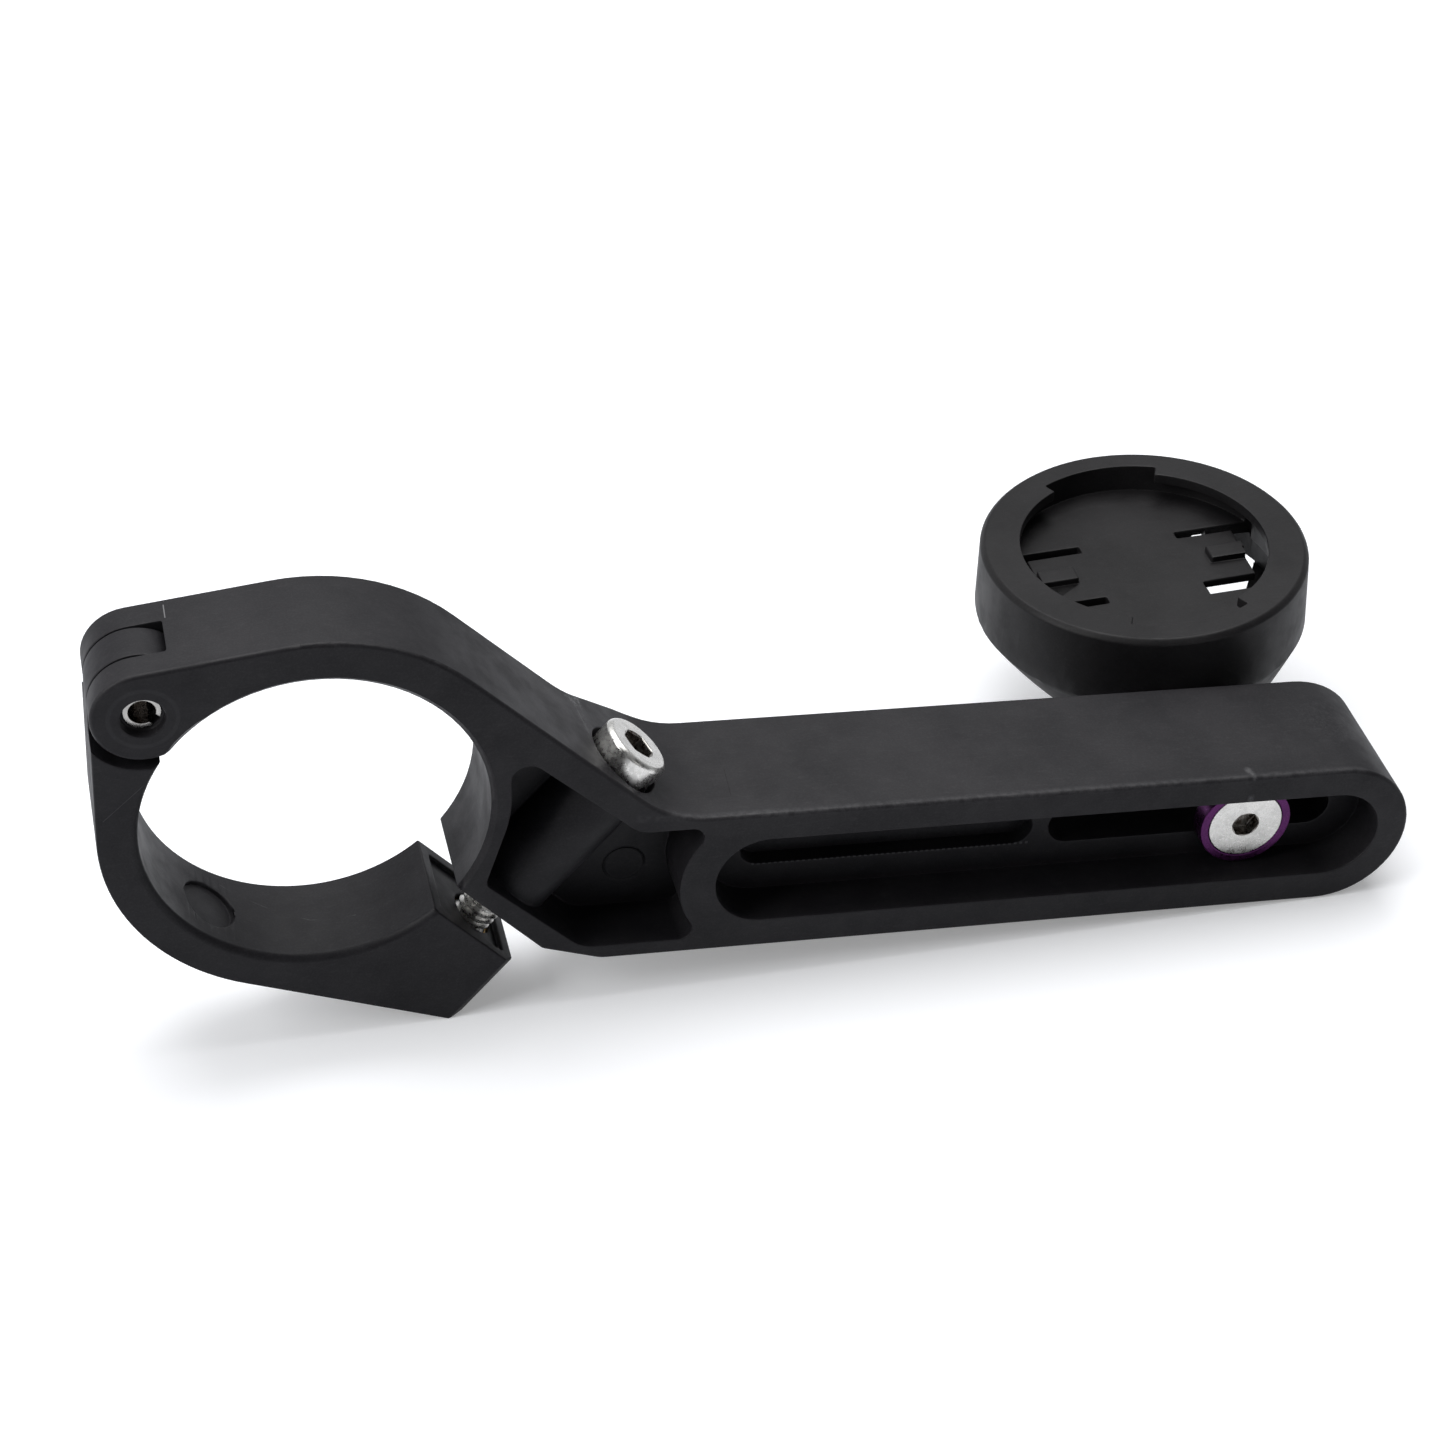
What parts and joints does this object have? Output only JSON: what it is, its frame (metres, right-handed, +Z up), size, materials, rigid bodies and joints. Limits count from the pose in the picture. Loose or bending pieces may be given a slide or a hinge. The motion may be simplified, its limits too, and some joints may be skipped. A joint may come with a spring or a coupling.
{
  "type": "bike computer mount",
  "caption": "Hinged bar clamp with a long slotted arm that carries a sliding, tilting cradle for a bike computer.",
  "frame": {"origin": "on the axis of the bar bore, at the middle of the clamp's width", "axes": "+X from the clamp along the arm, +Y along the bar towards the cradle's side, +Z up"},
  "size_m": [0.1291, 0.0513, 0.0457],
  "materials": {
    "nylon": "black glass-filled nylon, fine matt grain",
    "cradle_nylon": "black glass-filled nylon, smooth matt",
    "spring_steel": "rolled bright spring steel",
    "stainless": "polished stainless steel",
    "brass": "turned brass",
    "anodised_cup": "purple anodised aluminium, satin"
  },
  "bodies": {
    "arm": {"arm_body": "nylon", "hinge_pin": "spring_steel"},
    "jaw": {"clamp_jaw": "nylon", "jaw_insert": "brass"},
    "pinch_screw": {"pinch_screw": "stainless"},
    "carriage": {"cup_washer": "anodised_cup", "cradle_bolt": "stainless"},
    "cradle": {"cradle": "cradle_nylon", "cradle_insert": "brass"}
  },
  "joints": [
    {"name": "pinch_screw_draw", "type": "slide", "parent": "arm", "child": "pinch_screw", "axis": [0.6088, 0, 0.7934], "range_m": [0, 0.022]},
    {"name": "jaw_swing", "type": "hinge", "parent": "arm", "child": "jaw", "pos_m": [-0.0153, 0, 0.01315], "axis": [0, 1, 0], "range_deg": [0, 70]},
    {"name": "carriage_slide", "type": "slide", "parent": "arm", "child": "carriage", "axis": [1, 0, 0], "range_m": [-0.0177, 0.0074]},
    {"name": "cradle_tilt", "type": "hinge", "parent": "carriage", "child": "cradle", "pos_m": [0.0929, 0.0148, -0.01088], "axis": [0, 1, 0], "range_deg": [-90, 90]}
  ],
  "couplings": [
    {"joint": "jaw_swing", "follows": "pinch_screw_draw", "rad_per_m": 55.5}
  ]
}
